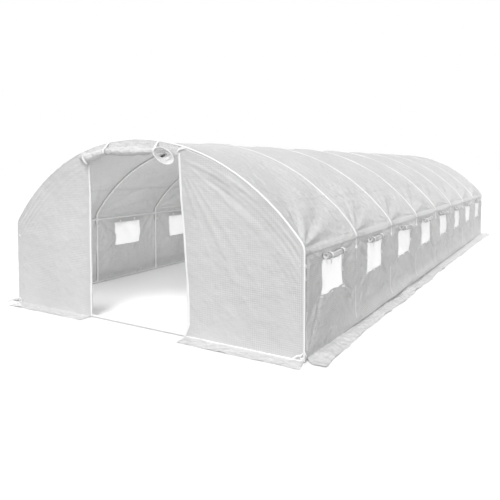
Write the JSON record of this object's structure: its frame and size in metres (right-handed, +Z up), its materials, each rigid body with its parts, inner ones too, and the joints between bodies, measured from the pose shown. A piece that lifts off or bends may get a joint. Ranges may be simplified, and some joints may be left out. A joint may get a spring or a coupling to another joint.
{
  "type": "polytunnel greenhouse",
  "caption": "Walk-in polytunnel greenhouse: bent tube hoops under a pale woven cover, with net windows along the walls, a rolled-up door in each end and flaps lying on the ground.",
  "frame": {"origin": "on the ground, at the middle of the tunnel", "axes": "+Y along the tunnel away from the front door in the picture, +X to the right seen from the front, +Z up"},
  "size_m": [4.3676, 10.3726, 2.0058],
  "materials": {
    "tube": "white powder coat on thin steel tube",
    "fitting": "moulded white plastic",
    "cover": "woven polyethylene, translucent white",
    "net": "fine woven insect net",
    "tape": "white woven tape"
  },
  "bodies": {
    "root": {"hoop_1": "tube", "hoop_2": "tube", "hoop_3": "tube", "hoop_4": "tube", "hoop_5": "tube", "hoop_6": "tube", "hoop_7": "tube", "hoop_8": "tube", "hoop_9": "tube", "ridge_purlin": "tube", "left_purlin": "tube", "right_purlin": "tube", "left_base_rail": "tube", "right_base_rail": "tube", "front_base_rail": "tube", "back_base_rail": "tube", "front_door_posts": "tube", "back_door_posts": "tube", "ridge_connectors": "fitting", "shoulder_connectors": "fitting", "foot_connectors": "fitting", "door_tees": "fitting", "cover_buttons": "fitting", "post_clips": "fitting", "left_wall_cover": "cover", "right_wall_cover": "cover", "left_eave_cover": "cover", "right_eave_cover": "cover", "left_roof_cover": "cover", "right_roof_cover": "cover", "front_left_panel": "cover", "front_right_panel": "cover", "front_top_panel": "cover", "back_left_panel": "cover", "back_right_panel": "cover", "back_top_panel": "cover", "left_ground_flap": "cover", "right_ground_flap": "cover", "front_ground_flaps": "cover", "back_ground_flaps": "cover", "front_door_roll": "cover", "back_door_roll": "cover", "window_rolls": "cover", "window_nets": "net", "door_ties": "tape", "window_ties": "tape"}
  },
  "joints": []
}
